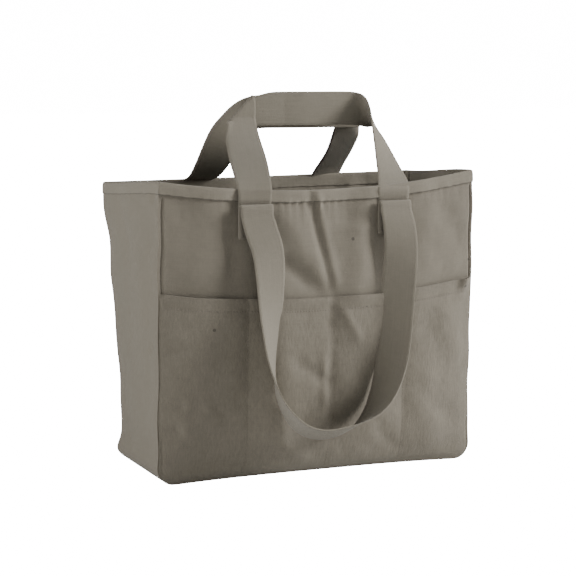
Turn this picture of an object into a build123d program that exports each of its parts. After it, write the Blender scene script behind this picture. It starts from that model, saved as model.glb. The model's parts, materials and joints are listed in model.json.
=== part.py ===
from build123d import *
import os
from math import cos, degrees, atan2, hypot, pi, radians, sin

# A canvas garden tool bag: front and back panels joined by one strip that runs down
# the left side, under the base and up the right side. A four-pocket panel is sewn
# across the front, a tape binds the rim, and each long side carries a short hand
# handle and a long shoulder strap.
# Frame: millimetres, origin on the floor under the middle of the bag, +Z up,
# front towards -Y, width along X.

# ---- driving dimensions -------------------------------------------------------
bag_width = 400.0
bag_depth = 190.0
bag_height = 342.0
cloth = 1.2                    # thickness of the canvas
corner_radius = 20.0           # the rounded lower corners of the front and back

tape = 1.0                     # thickness of the rim tape
tape_drop = 13.0               # how far the tape comes down each side of the rim
seam_tape_width = 10.0         # binding over the seam allowance, inside the bag
seam_tape_thickness = 2.4

pocket_count = 4
pocket_height = 217.0
pocket_bulge = 8.8
pocket_foot = 36.0             # height over which a pocket fills out from the base seam
foot_swell = 0.88              # share of the bulge a pocket has reached at foot_share of that height
foot_share = 0.45
divider_flat = 4.0             # cloth that lies flat along each dividing seam
hem_drop = 15.0                # from the pocket's mouth down to its hem stitching

strap_width = 40.0
strap_thickness = 1.6
strap_centre_x = 88.0          # middle of each sewn end, either side of the centre
anchor_foot = 279.0            # lower edge of the sewn ends
fold_height = 318.0            # where the long strap folds over and hangs down
fold_radius = 3.0
fold_gap = 0.5                 # clearance behind the rolled fold
hinge_gap = 0.3

handle_top = 446.0             # upper edge of the hand handle
handle_reach = 5.0             # each handle's upper band stops this far from the middle
handle_draw_in = 12.0          # how far each leg leans towards the other by the top
handle_corner = 22.0
strap_drop = 260.0             # from the fold down to the bottom of the hanging loop
loop_height = 95.0             # height of the rounded lower end of the loop
strap_clear = 3.5              # how far the loop stands off the sewn ends lower down
twist_start = 285.0            # height where the hanging strap starts to turn edge-on

thread = 0.6
thread_stand = 0.4             # how far a stitch stands off the cloth
thread_lift = 0.05             # clearance under the stitching of a twisted strap
row_gap = 2.0                  # a row of stitching stops this far short of the next piece
leg_row = (0.05, 0.7)          # start and end of the stitching on a handle's leg, as shares of its length
stitch_inset = 3.0             # from a strap's edge to its edge stitching

# ---- worked out from them -----------------------------------------------------
half_width = bag_width / 2
half_depth = bag_depth / 2
inner_depth = half_depth - cloth
pocket_width = bag_width / pocket_count
rim_foot = bag_height - tape_drop                      # lower edge of the rim tape
rim_face = half_depth + tape                           # outer face of the rim tape
strap_end_top = fold_height - fold_radius - 2 * hinge_gap
handle_face = rim_face + strap_thickness               # outer face of a handle's end
strap_face = handle_face + strap_thickness             # outer face of a strap's end
handle_pivot = (-(rim_face + strap_thickness / 2), bag_height + tape + strap_thickness)
fold_axis_y = -(handle_face + fold_gap + fold_radius)
hang_y = fold_axis_y - fold_radius + strap_thickness / 2
handle_band_y = -(handle_reach + strap_thickness / 2)
handle_tip = (handle_band_y, handle_top - strap_thickness / 2)
handle_lean = degrees(atan2(handle_tip[0] - handle_pivot[0], handle_tip[1] - handle_pivot[1]))
leg_length = hypot(handle_tip[0] - handle_pivot[0], handle_tip[1] - handle_pivot[1])
loop_centre_z = fold_height - strap_drop + loop_height
divider_x = [-half_width + pocket_width * i for i in range(1, pocket_count)]
pocket_centre_x = [-half_width + pocket_width * (i + 0.5) for i in range(pocket_count)]
sides = {"left": -1, "right": 1}


def panel_outline(inset=0.0, top=bag_height):
    """Upright face of the bag with rounded lower corners, drawn in by inset at the sides and base."""
    with BuildSketch() as outline:
        with Locations((0, (inset + top) / 2)):
            Rectangle(bag_width - 2 * inset, top - inset)
        fillet(outline.vertices().group_by(Axis.Y)[0], radius=corner_radius - inset)
    return outline.sketch


def seam_binding():
    """Tape over the front seam's allowance: down one side, along the base and up the other."""
    with BuildPart() as binding:
        with BuildSketch(Plane.XZ.offset(inner_depth)):
            add(panel_outline(inset=cloth, top=rim_foot - tape))
            add(panel_outline(cloth + seam_tape_thickness, bag_height), mode=Mode.SUBTRACT)
        extrude(amount=-seam_tape_width)
    return binding.part


def pocket_bays(y_shift=0.0):
    """Plan of the pockets: one shallow arc over each bay, standing off the front panel."""
    chord = pocket_width - divider_flat
    radius = (chord * chord / 4 + pocket_bulge * pocket_bulge) / (2 * pocket_bulge)
    base_y = -half_depth - y_shift
    with BuildSketch() as bays:
        for x in pocket_centre_x:
            with Locations((x, base_y - pocket_bulge + radius)):
                Circle(radius)
        with Locations((0, base_y)):
            Rectangle(bag_width + 2 * radius, 3 * radius, align=(Align.CENTER, Align.MIN), mode=Mode.SUBTRACT)
    return bays.sketch


def pocket_side(y_shift=0.0):
    """Side view of the pockets: they fill out from the base seam, then run straight up."""
    base_y = -half_depth - y_shift
    full_y = base_y - pocket_bulge
    with BuildSketch() as side:
        with BuildLine():
            Line((base_y, 0), (base_y, bag_height))
            Line((base_y, bag_height), (full_y, bag_height))
            Line((full_y, bag_height), (full_y, pocket_foot))
            ThreePointArc(
                (full_y, pocket_foot),
                (full_y + (1 - foot_swell) * pocket_bulge, foot_share * pocket_foot),
                (base_y, 0),
            )
        make_face()
    return side.sketch


def pocket_fill(y_shift, top):
    """Solid between the front panel and a pocket surface that lies y_shift proud of the panel."""
    with BuildPart() as fill:
        with BuildSketch():
            add(pocket_bays(y_shift))
        extrude(amount=top)
        with BuildSketch(Plane.YZ):
            add(pocket_side(y_shift))
        extrude(amount=half_width, both=True, mode=Mode.INTERSECT)
        with BuildSketch(Plane.XZ):
            add(panel_outline(top=2 * bag_height))
        extrude(amount=bag_depth, both=True, mode=Mode.INTERSECT)
    return fill.part


def sewn_handle_end():
    """Lower end of a front handle, flat on the panel and over the rim tape, left side."""
    with BuildPart() as end:
        with BuildSketch(Plane.YZ.offset(-strap_centre_x)):
            with BuildLine():
                Polyline(
                    (-half_depth, anchor_foot),
                    (-handle_face, anchor_foot),
                    (-handle_face, handle_pivot[1] - strap_thickness / 2 - hinge_gap),
                    (-rim_face, handle_pivot[1] - strap_thickness / 2 - hinge_gap),
                    (-rim_face, rim_foot - tape),
                    (-half_depth, rim_foot - 3 * tape),
                    close=True,
                )
            make_face()
        extrude(amount=strap_width / 2, both=True)
    return end.part


def sewn_strap_end():
    """Sewn end of a front shoulder strap, on top of the handle's end, left side."""
    with BuildPart() as end:
        with Locations((-strap_centre_x, -handle_face, anchor_foot)):
            Box(
                strap_width,
                strap_thickness,
                strap_end_top - anchor_foot,
                align=(Align.CENTER, Align.MAX, Align.MIN),
            )
    return end.part


def anchor_stitches():
    """The stitched box and cross that hold a strap's end, one at each side of the front."""
    side = strap_end_top - anchor_foot - 2 * stitch_inset
    width = strap_width - 2 * stitch_inset
    middle_z = anchor_foot + stitch_inset + side / 2
    with BuildPart() as stitches:
        with BuildSketch(Plane.XZ.offset(strap_face)):
            with Locations(*[(s * strap_centre_x, middle_z) for s in sides.values()]):
                Rectangle(width, side)
                Rectangle(width - 2 * thread, side - 2 * thread, mode=Mode.SUBTRACT)
                for turn in (1, -1):
                    Rectangle(hypot(width, side) - 2 * thread, thread, rotation=turn * degrees(atan2(side, width)))
        extrude(amount=thread_stand)
    return stitches.part


def leg_plane():
    """Plane of a front handle's legs: origin on the hinge line, local y up the legs."""
    lean = radians(handle_lean)
    return Plane(origin=(0, *handle_pivot), x_dir=(1, 0, 0), z_dir=(0, -cos(lean), sin(lean)))


def leg_edge(side, across, up=1.0):
    """Point on a leg in its plane: across from its middle, up as a share of its length."""
    return (side * (strap_centre_x - handle_draw_in * up) + across, leg_length * up)


def handle_outline():
    """Front view of a hand handle's outer edge: sides that lean in, with rounded upper corners."""
    foot = strap_centre_x + strap_width / 2
    with BuildSketch() as outline:
        Polygon(
            (-foot, handle_pivot[1] - strap_thickness),
            (foot, handle_pivot[1] - strap_thickness),
            (foot - handle_draw_in, handle_top),
            (handle_draw_in - foot, handle_top),
            align=None,
        )
        fillet(outline.vertices().group_by(Axis.Y)[-1], radius=handle_corner)
    return outline.sketch


def hand_handle():
    """Front hand handle above the rim: two legs that lean in and an upright band across the top."""
    half = strap_width / 2
    with BuildPart() as handle:
        for s in sides.values():
            with BuildSketch(leg_plane()):
                Polygon(
                    leg_edge(s, -half, 0),
                    leg_edge(s, half, 0),
                    leg_edge(s, half),
                    leg_edge(s, -half),
                    align=None,
                )
            extrude(amount=strap_thickness / 2, both=True)
            with Locations((s * strap_centre_x, *handle_pivot)):
                Cylinder(strap_thickness / 2, strap_width, rotation=(0, 90, 0))
        with BuildSketch(Plane.XZ.offset(handle_reach)):
            with Locations((0, handle_top)):
                Rectangle(2 * strap_centre_x, strap_width, align=(Align.CENTER, Align.MAX))
        extrude(amount=strap_thickness)
        with BuildSketch(Plane.XZ):
            add(handle_outline())
        extrude(amount=half_depth + strap_width, both=True, mode=Mode.INTERSECT)
    return handle.part


def handle_edge_stitches():
    """Edge stitching of the front hand handle: two lines up each leg and two along the band."""
    inset = strap_width / 2 - stitch_inset
    with BuildPart() as stitches:
        with BuildSketch(leg_plane().offset(strap_thickness / 2)):
            for s in sides.values():
                for edge in (-inset, inset):
                    Polygon(
                        leg_edge(s, edge, leg_row[0]),
                        leg_edge(s, edge + thread, leg_row[0]),
                        leg_edge(s, edge + thread, leg_row[1]),
                        leg_edge(s, edge, leg_row[1]),
                        align=None,
                    )
        extrude(amount=thread_stand)
        with BuildSketch(Plane.XZ.offset(handle_reach + strap_thickness)):
            with Locations((0, handle_top - strap_width + stitch_inset), (0, handle_top - stitch_inset)):
                Rectangle(2 * (strap_centre_x - handle_draw_in - strap_width / 2 - stitch_inset), thread)
        extrude(amount=thread_stand)
    return stitches.part


def loop_line():
    """Front view of the hanging strap as (x, z): down the left, round the bottom, up the right."""
    leg_steps = 7
    bend_steps = 20
    left = [
        (-strap_centre_x, fold_height + (loop_centre_z - fold_height) * i / leg_steps)
        for i in range(leg_steps)
    ]
    bend = [
        (-strap_centre_x * cos(pi * i / bend_steps), loop_centre_z - loop_height * sin(pi * i / bend_steps))
        for i in range(bend_steps + 1)
    ]
    right = [(-x, z) for x, z in reversed(left)]
    return left + bend + right


def smooth(t):
    """Eases from 0 to 1 as t goes from 0 to 1."""
    t = min(max(t, 0.0), 1.0)
    return t * t * (3 - 2 * t)


def loop_planes():
    """Planes across the hanging strap: local x runs across its width, local y out of its front face."""
    line = loop_line()
    run = [0.0]
    for (x0, z0), (x1, z1) in zip(line, line[1:]):
        run.append(run[-1] + hypot(x1 - x0, z1 - z0))
    half_run = run[-1] / 2
    straight = fold_height - twist_start
    planes = []
    for i, (x, z) in enumerate(line):
        before = line[max(i - 1, 0)]
        after = line[min(i + 1, len(line) - 1)]
        along = Vector(after[0] - before[0], 0, after[1] - before[1]).normalized()
        from_end = min(run[i], run[-1] - run[i])
        turn = pi / 2 * smooth((from_end - straight) / (half_run - straight))
        across = along.cross(Vector(0, 1, 0)) * cos(turn) + Vector(0, 1, 0) * sin(turn)
        stand = strap_clear * smooth(from_end / (fold_height - pocket_height))
        y = hang_y - stand - strap_width / 2 * sin(turn)
        planes.append(Plane(origin=(x, y, z), x_dir=across, z_dir=along))
    return planes


def shoulder_strap():
    """Front shoulder strap hanging from its two rolled folds; it turns edge-on towards the bottom."""
    with BuildPart() as strap:
        for plane in loop_planes():
            with BuildSketch(plane):
                Rectangle(strap_width, strap_thickness)
        loft(ruled=True)
        with Locations(*[(s * strap_centre_x, fold_axis_y, fold_height) for s in sides.values()]):
            Cylinder(fold_radius, strap_width, rotation=(0, 90, 0))
    return strap.part


def strap_edge_stitch(edge):
    """One line of edge stitching on the strap's front face; edge is 1 or -1."""
    lift = strap_thickness / 2 + thread_lift + thread_stand / 2
    with BuildPart() as stitch:
        for plane in loop_planes()[1:-1]:
            with BuildSketch(plane):
                with Locations((edge * (strap_width / 2 - stitch_inset), lift)):
                    Rectangle(thread, thread_stand)
        loft(ruled=True)
    return stitch.part


# ---- the bag's body -----------------------------------------------------------
with BuildPart() as front_panel:
    with BuildSketch(Plane.XZ.offset(half_depth)):
        add(panel_outline())
    extrude(amount=-cloth)

back_panel = mirror(front_panel.part, about=Plane.XZ)

with BuildPart() as side_and_base_strip:
    with BuildSketch(Plane.XZ):
        add(panel_outline())
        add(panel_outline(inset=cloth, top=2 * bag_height), mode=Mode.SUBTRACT)
    extrude(amount=inner_depth, both=True)

front_seam_binding = seam_binding()
back_seam_binding = mirror(front_seam_binding, about=Plane.XZ)

with BuildPart() as rim_binding:
    with BuildSketch(Plane.XY.offset(rim_foot)):
        Rectangle(bag_width + 2 * tape, bag_depth + 2 * tape)
        Rectangle(bag_width - 2 * (cloth + tape), bag_depth - 2 * (cloth + tape), mode=Mode.SUBTRACT)
    extrude(amount=tape_drop + tape)
    with BuildSketch(Plane.XY.offset(rim_foot)):
        Rectangle(bag_width, bag_depth)
        Rectangle(bag_width - 2 * cloth, bag_depth - 2 * cloth, mode=Mode.SUBTRACT)
    extrude(amount=tape_drop, mode=Mode.SUBTRACT)

# ---- the front pockets --------------------------------------------------------
with BuildPart() as front_pocket_panel:
    with BuildSketch(Plane.XZ.offset(half_depth)):
        add(panel_outline(top=pocket_height))
    extrude(amount=cloth)
    add(pocket_fill(cloth, pocket_height))
    add(pocket_fill(0.0, 2 * pocket_height), mode=Mode.SUBTRACT)

with BuildPart() as pocket_divider_stitching:
    with BuildSketch(Plane.XZ.offset(half_depth + cloth)):
        with Locations(*[(x, corner_radius / 4) for x in divider_x]):
            Rectangle(thread, pocket_height - corner_radius / 2, align=(Align.CENTER, Align.MIN))
    extrude(amount=thread_stand)

with BuildPart() as pocket_hem_stitching:
    with BuildSketch(Plane.XY.offset(pocket_height - hem_drop)):
        add(pocket_bays(cloth + thread_stand))
        add(pocket_bays(cloth), mode=Mode.SUBTRACT)
        with Locations(*[(x, -half_depth) for x in [-half_width, *divider_x, half_width]]):
            Rectangle(3 * divider_flat, 4 * divider_flat, mode=Mode.SUBTRACT)
    extrude(amount=thread)

# ---- stitching round the rim and along the seams ------------------------------
with BuildPart() as rim_stitching:
    with BuildSketch(Plane.XY.offset(rim_foot + stitch_inset)):
        Rectangle(bag_width + 2 * (tape + thread_stand), bag_depth + 2 * (tape + thread_stand))
        Rectangle(bag_width + 2 * tape, bag_depth + 2 * tape, mode=Mode.SUBTRACT)
        with Locations(*[(s * strap_centre_x, 0) for s in sides.values()]):
            Rectangle(strap_width + 2 * thread, 2 * bag_depth, mode=Mode.SUBTRACT)
    extrude(amount=thread)

with BuildPart() as front_seam_stitching:
    with BuildSketch(Plane.XZ.offset(half_depth)):
        for s in sides.values():
            with Locations((s * (half_width - stitch_inset), pocket_height + row_gap)):
                Rectangle(
                    thread,
                    rim_foot - pocket_height - 2 * row_gap,
                    align=(Align.CENTER, Align.MIN),
                )
    extrude(amount=thread_stand)

with BuildPart() as back_seam_stitching:
    with BuildSketch(Plane.XZ.offset(-half_depth)):
        add(panel_outline(inset=stitch_inset, top=rim_foot - row_gap))
        add(panel_outline(inset=stitch_inset + thread, top=bag_height), mode=Mode.SUBTRACT)
    extrude(amount=-thread_stand)

# ---- handles and straps -------------------------------------------------------
front_handle = hand_handle()
front_handle_stitching = handle_edge_stitches()
front_strap = shoulder_strap()
front_strap_stitching = Compound(children=[strap_edge_stitch(edge) for edge in (1, -1)])
front_anchor_stitching = anchor_stitches()
left_handle_end = sewn_handle_end()
left_strap_end = sewn_strap_end()

nodes = {
    "front_panel": front_panel.part,
    "back_panel": back_panel,
    "side_and_base_strip": side_and_base_strip.part,
    "front_seam_binding": front_seam_binding,
    "back_seam_binding": back_seam_binding,
    "rim_binding": rim_binding.part,
    "front_pocket_panel": front_pocket_panel.part,
    "pocket_divider_stitching": pocket_divider_stitching.part,
    "pocket_hem_stitching": pocket_hem_stitching.part,
    "rim_stitching": rim_stitching.part,
    "front_seam_stitching": front_seam_stitching.part,
    "back_seam_stitching": back_seam_stitching.part,
    "front_left_handle_end": left_handle_end,
    "front_right_handle_end": mirror(left_handle_end, about=Plane.YZ),
    "front_left_strap_end": left_strap_end,
    "front_right_strap_end": mirror(left_strap_end, about=Plane.YZ),
    "front_anchor_stitching": front_anchor_stitching,
    "front_handle": front_handle,
    "front_handle_stitching": front_handle_stitching,
    "front_strap": front_strap,
    "front_strap_stitching": front_strap_stitching,
}

# The back carries the same handle, strap and sewn ends, mirrored.
for name in [n for n in nodes if "handle" in n or "strap_" in n or "anchor" in n or n == "front_strap"]:
    nodes[name.replace("front", "back")] = mirror(nodes[name], about=Plane.XZ)

os.makedirs("parts", exist_ok=True)
for name, solid in nodes.items():
    solid.label = name
    export_step(solid, f"parts/{name}.step")

print("handle leans in by", round(handle_lean, 2), "degrees about", handle_pivot)
print("strap folds about y", round(fold_axis_y, 2), "z", fold_height)
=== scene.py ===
import json
import math

import bpy
from bpy.props import FloatProperty, FloatVectorProperty, IntProperty, PointerProperty
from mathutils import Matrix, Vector, noise


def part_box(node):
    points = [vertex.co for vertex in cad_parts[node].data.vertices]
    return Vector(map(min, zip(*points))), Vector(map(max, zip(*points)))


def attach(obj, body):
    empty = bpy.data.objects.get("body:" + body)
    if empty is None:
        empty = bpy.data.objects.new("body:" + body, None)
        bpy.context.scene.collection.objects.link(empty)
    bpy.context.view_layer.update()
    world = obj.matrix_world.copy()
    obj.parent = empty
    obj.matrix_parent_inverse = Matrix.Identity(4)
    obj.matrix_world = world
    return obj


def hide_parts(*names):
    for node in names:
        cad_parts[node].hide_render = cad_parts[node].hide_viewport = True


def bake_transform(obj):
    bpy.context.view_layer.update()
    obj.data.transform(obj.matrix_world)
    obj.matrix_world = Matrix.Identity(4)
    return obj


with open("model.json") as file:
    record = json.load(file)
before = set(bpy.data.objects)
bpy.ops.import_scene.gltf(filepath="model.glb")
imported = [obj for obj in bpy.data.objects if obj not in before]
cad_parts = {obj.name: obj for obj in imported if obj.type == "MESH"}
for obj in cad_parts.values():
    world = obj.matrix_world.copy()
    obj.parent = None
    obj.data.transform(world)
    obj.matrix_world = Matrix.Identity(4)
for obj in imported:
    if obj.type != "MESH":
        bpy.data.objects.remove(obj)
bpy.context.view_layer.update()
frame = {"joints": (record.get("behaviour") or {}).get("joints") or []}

# A canvas garden tool bag with four front pockets, two short hand handles and two long
# shoulder straps. Shapes are worked out in millimetres and written to the meshes in metres.
# Front is towards -Y, width along X, +Z up, origin on the floor under the middle.

bl_info = {
    "name": "Garden Tool Bag",
    "version": (1, 0, 0),
    "blender": (4, 5, 0),
    "location": "View3D > Sidebar > Tool Bag",
    "description": "Builds a canvas garden tool bag piece by piece over its mechanical frame",
    "category": "Add Mesh",
}

PANEL_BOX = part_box("front_panel")
HANDLE_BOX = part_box("front_handle")
STRAP_END_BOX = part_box("front_left_strap_end")
POCKET_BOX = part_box("front_pocket_panel")
MM = 0.001


class BagSizes(bpy.types.PropertyGroup):
    """Sizes of the bag's cloth, tape and ribbon"""

    cloth: FloatProperty(name="Cloth", description="Thickness of the canvas", unit="LENGTH", default=0.0012)
    tape: FloatProperty(name="Tape", description="Thickness of the rim tape", unit="LENGTH", default=0.001)
    tape_drop: FloatProperty(
        name="Tape Drop", description="How far the rim tape comes down", unit="LENGTH", default=0.013)
    ribbon_width: FloatProperty(
        name="Ribbon Width", description="Width of the handles and straps", unit="LENGTH",
        default=STRAP_END_BOX[1][0] - STRAP_END_BOX[0][0])
    ribbon: FloatProperty(name="Ribbon", description="Thickness of the ribbon", unit="LENGTH", default=0.0016)
    handle_top: FloatProperty(
        name="Handle Top", description="Upper edge of the hand handles", unit="LENGTH",
        default=HANDLE_BOX[1][2])
    stitch_pitch: FloatProperty(
        name="Stitch Pitch", description="From one stitch to the next", unit="LENGTH", default=0.0035)


class BagLooks(bpy.types.PropertyGroup):
    """Colours and finish of the bag"""

    canvas: FloatVectorProperty(
        name="Canvas", description="Colour of the cloth", subtype="COLOR", size=3,
        default=(0.169, 0.15, 0.116))
    ribbon: FloatVectorProperty(
        name="Ribbon", description="Colour of the handles and straps", subtype="COLOR", size=3,
        default=(0.183, 0.164, 0.128))
    tape: FloatVectorProperty(
        name="Tape", description="Colour of the rim tape", subtype="COLOR", size=3,
        default=(0.188, 0.168, 0.131))
    thread: FloatVectorProperty(
        name="Thread", description="Colour of the sewing thread", subtype="COLOR", size=3,
        default=(0.178, 0.157, 0.125))
    wrinkles: FloatProperty(
        name="Wrinkles", description="Strength of the cloth's creases", subtype="FACTOR", min=0, max=2,
        default=1.0)
    seed: IntProperty(name="Seed", description="Changes the small lumps of the cloth", default=7)


class BagStudio(bpy.types.PropertyGroup):
    """Light of the studio"""

    key: FloatProperty(name="Key", description="Soft light from the right", unit="POWER", default=186.0)
    fill: FloatProperty(name="Fill", description="Soft light from the left", unit="POWER", default=75.0)
    surround: FloatProperty(name="Surround", description="Strength of the white surround", default=0.31)


# ---- small helpers ----

def ease(t):
    """Eases from 0 to 1 as t goes from 0 to 1."""
    t = min(max(t, 0.0), 1.0)
    return t * t * (3 - 2 * t)


def hump(distance, width):
    """1 on a line and falling to 0 at about twice width from it."""
    return math.exp(-(distance / width) ** 2)


def lump(x, z, size, layer):
    """Smooth seeded noise from -1 to 1, with features of about size millimetres."""
    seed = bpy.context.scene.bag_looks.seed
    return noise.noise(Vector((x / size, z / size, 13.7 * layer + seed)))


def crease(x, z, line):
    """Height that one crease adds at (x, z). line is its two ends, half width and height."""
    x0, z0, x1, z1, width, height = line
    dx = x1 - x0
    dz = z1 - z0
    length = math.hypot(dx, dz)
    along = ((x - x0) * dx + (z - z0) * dz) / length ** 2
    if not -0.3 < along < 1.3:
        return 0.0
    across = ((x - x0) * dz - (z - z0) * dx) / length
    return height * hump(across, width) * ease((along + 0.15) / 0.35) * ease((1.12 - along) / 0.3)


def deselect_all():
    """Leaves nothing selected."""
    for other in bpy.context.selected_objects:
        other.select_set(False)


def select_only(piece):
    """Leaves piece as the one selected and active object."""
    deselect_all()
    piece.select_set(True)
    bpy.context.view_layer.objects.active = piece


def cloth_grid(name, columns, rows, place, size):
    """A sheet of cloth: place(u, v) gives each point in millimetres for u and v from 0 to 1.

    size is the flat cloth's width and length in millimetres, which its UV map keeps."""
    deselect_all()
    bpy.ops.mesh.primitive_grid_add(x_subdivisions=columns, y_subdivisions=rows, size=1, calc_uvs=True)
    piece = bpy.context.object
    piece.name = name
    piece.data.name = name
    spots = [(v.co.x + 0.5, v.co.y + 0.5) for v in piece.data.vertices]
    for vertex, (u, v) in zip(piece.data.vertices, spots):
        vertex.co = Vector(place(u, v)) * MM
    layer = piece.data.uv_layers.active.data
    for loop in piece.data.loops:
        u, v = spots[loop.vertex_index]
        layer[loop.index].uv = (u * size[0] * MM, v * size[1] * MM)
    piece.location = (0, 0, 0)
    return piece


def turn_for(face):
    """Leaves a front point alone (face -1), or turns it half round to the back (face 1)."""
    return (lambda p: p) if face < 0 else (lambda p: Vector((-p.x, -p.y, p.z)))


def give_thickness(piece, thickness, offset=0.0, flip=False, rounded=0.0):
    """Turns a sheet into a closed piece with the given thickness in metres."""
    select_only(piece)
    if flip:
        piece.data.flip_normals()
    wall = piece.modifiers.new("Thickness", "SOLIDIFY")
    wall.thickness = thickness
    wall.offset = offset
    wall.use_even_offset = False
    bpy.ops.object.modifier_apply(modifier=wall.name)
    if rounded:
        edge = piece.modifiers.new("Edge", "BEVEL")
        edge.width = rounded
        edge.segments = 1
        edge.angle_limit = math.radians(60)
        bpy.ops.object.modifier_apply(modifier=edge.name)
    bpy.ops.object.shade_smooth_by_angle(angle=math.radians(50))
    return piece


def finish_piece(piece, material, body, nodes):
    """Gives a piece its material and slot, hides the CAD nodes it stands for, and lets it ride."""
    piece.data.materials.clear()
    piece.data.materials.append(material)
    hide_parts(*nodes)
    if body:
        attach(piece, body)
    return piece


def through(stations, steps):
    """Smooth line through stations, each a list of numbers, as steps + 1 evenly spaced ones."""
    last = len(stations) - 1
    fine = []
    per_span = 24
    for i in range(last):
        p0, p1, p2, p3 = (stations[min(max(i + k, 0), last)] for k in (-1, 0, 1, 2))
        for k in range(per_span):
            t = k / per_span
            fine.append([
                0.5 * (2 * b + (c - a) * t + (2 * a - 5 * b + 4 * c - d) * t ** 2
                       + (3 * b - a - 3 * c + d) * t ** 3)
                for a, b, c, d in zip(p0, p1, p2, p3)
            ])
    fine.append(list(stations[-1]))
    run = [0.0]
    for a, b in zip(fine, fine[1:]):
        run.append(run[-1] + math.dist(a[:3], b[:3]))
    out = []
    j = 0
    for i in range(steps + 1):
        goal = run[-1] * i / steps
        while j < len(run) - 2 and run[j + 1] < goal:
            j += 1
        t = (goal - run[j]) / max(run[j + 1] - run[j], 1e-9)
        out.append([a + (b - a) * t for a, b in zip(fine[j], fine[j + 1])])
    return out, run[-1]


def point_across(line, share, across):
    """Point across from an evenly spaced line, share of its length along it."""
    steps = len(line) - 1
    t = share * steps
    low = min(max(int(t), 0), steps - 1)
    row = [a + (b - a) * (t - low) for a, b in zip(line[low], line[low + 1])]
    return Vector(row[:3]) + Vector(row[3:]).normalized() * across


# ---- materials ----

class Wire:
    """A node's output that can be used in sums: each operator adds a Math node."""

    def __init__(self, paint, socket):
        self.paint = paint
        self.socket = socket

    def _math(self, operation, first, second):
        return self.paint.node("ShaderNodeMath", {"operation": operation}, {0: first, 1: second})

    def __add__(self, other):
        return self._math("ADD", self, other)

    __radd__ = __add__

    def __mul__(self, other):
        return self._math("MULTIPLY", self, other)

    __rmul__ = __mul__

    def __sub__(self, other):
        return self._math("SUBTRACT", self, other)

    def __rsub__(self, other):
        return self._math("SUBTRACT", other, self)

    def above(self, limit):
        return self._math("GREATER_THAN", self, limit)


class Paint:
    """A material and the one way its nodes are added."""

    def __init__(self, name):
        self.material = bpy.data.materials.new(name)
        self.material.use_nodes = True
        self.tree = self.material.node_tree
        self.surface = self.tree.nodes["Principled BSDF"]

    def node(self, kind, settings=None, inputs=None, output=0):
        made = self.tree.nodes.new(kind)
        for key, value in (settings or {}).items():
            setattr(made, key, value)
        for key, value in (inputs or {}).items():
            self.feed(made.inputs[key], value)
        return Wire(self, made.outputs[output])

    def feed(self, socket, value):
        if isinstance(value, Wire):
            self.tree.links.new(value.socket, socket)
        else:
            socket.default_value = value

    def stretched_noise(self, where, across, along, detail=2.0):
        """Noise whose grain is across and along times finer than a metre."""
        grain = (across, along, 1)
        spread = self.node("ShaderNodeVectorMath", {"operation": "MULTIPLY"}, {0: where, 1: grain})
        return self.node("ShaderNodeTexNoise", {}, {"Vector": spread, "Scale": 1.0, "Detail": detail})

    def tinted(self, colour, tone):
        """colour made lighter and darker by tone."""
        grey = self.node("ShaderNodeCombineColor", {}, {0: tone, 1: tone, 2: tone})
        return self.node(
            "ShaderNodeMix", {"data_type": "RGBA", "blend_type": "MULTIPLY"},
            {"Factor": 1.0, 6: (*colour, 1.0), 7: grey}, output=2,
        )

    def finish(self, colour, roughness, height, depth, sheen):
        self.feed(self.surface.inputs["Base Color"], colour)
        self.feed(self.surface.inputs["Roughness"], roughness)
        bump = self.node("ShaderNodeBump", {}, {"Strength": 1.0, "Distance": depth, "Height": height})
        self.feed(self.surface.inputs["Normal"], bump)
        self.surface.inputs["Sheen Weight"].default_value = sheen
        self.surface.inputs["Sheen Roughness"].default_value = 0.6
        self.surface.inputs["Specular IOR Level"].default_value = 0.18
        return self.material


def woven(name, colour, pitch, rib, slub, mottle, depth, specks=False, edge=0.0):
    """Plain-woven cotton: crossed threads, uneven yarns and a faint mottling.

    pitch is from thread to thread and edge is the width of a strip of painted shade along the UV map's low
    edge, both in metres."""
    paint = Paint(name)
    where = paint.node("ShaderNodeUVMap")
    parts = paint.node("ShaderNodeSeparateXYZ", {}, {0: where})
    u = parts
    v = Wire(paint, parts.socket.node.outputs[1])
    turn = 2 * math.pi / pitch
    warp = paint.node("ShaderNodeMath", {"operation": "SINE"}, {0: u * turn})
    weft = paint.node("ShaderNodeMath", {"operation": "SINE"}, {0: v * turn})
    weave = warp * weft * 0.5 + 0.5
    ribs = paint.stretched_noise(where, 0.5 / pitch, 95)
    slubs = paint.stretched_noise(where, 30, 0.6 / pitch)
    place = paint.node("ShaderNodeTexCoord", {}, {}, 3)
    patches = paint.node("ShaderNodeTexNoise", {}, {"Vector": place, "Scale": 14.0, "Detail": 4.0})
    fuzz = paint.node("ShaderNodeTexNoise", {}, {"Vector": place, "Scale": 900.0, "Detail": 1.0})
    tone = (
        (ribs - 0.5) * rib + (slubs - 0.5) * slub + (patches - 0.5) * mottle
        + (fuzz - 0.5) * 0.12 + (weave - 0.5) * 0.08 + 1.0
    )
    if specks:
        cells = paint.node("ShaderNodeTexVoronoi", {}, {"Vector": place, "Scale": 21.0})
        tone = tone * (1 - (0.042 - cells).above(0.0) * 0.45)
    # Painted shade: a strip edge wide along the UV map's low edge, which is the tape's lower outer edge, is
    # darkened to stand in for the shadow under the tape.
    if edge:
        tone = tone * (1 - (edge - v).above(0.0) * 0.45)
    mixed = paint.tinted(colour, tone)
    height = weave * 0.35 + ribs * (rib * 2.2) + slubs * (slub * 2.2) + fuzz * 0.2
    return paint.finish(mixed, 0.86 - (patches - 0.5) * 0.1, height, depth, 0.12)


def twisted_thread(name, colour):
    """Sewing thread: fine slanted strands."""
    paint = Paint(name)
    place = paint.node("ShaderNodeTexCoord", {}, {}, 3)
    strands = paint.node(
        "ShaderNodeTexWave", {"wave_type": "BANDS", "bands_direction": "DIAGONAL"},
        {"Vector": place, "Scale": 900.0},
    )
    tone = strands * 0.25 + 0.85
    mixed = paint.tinted(colour, tone)
    return paint.finish(mixed, 0.7 - (strands - 0.5) * 0.1, strands, 0.0001, 0.05)


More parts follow.
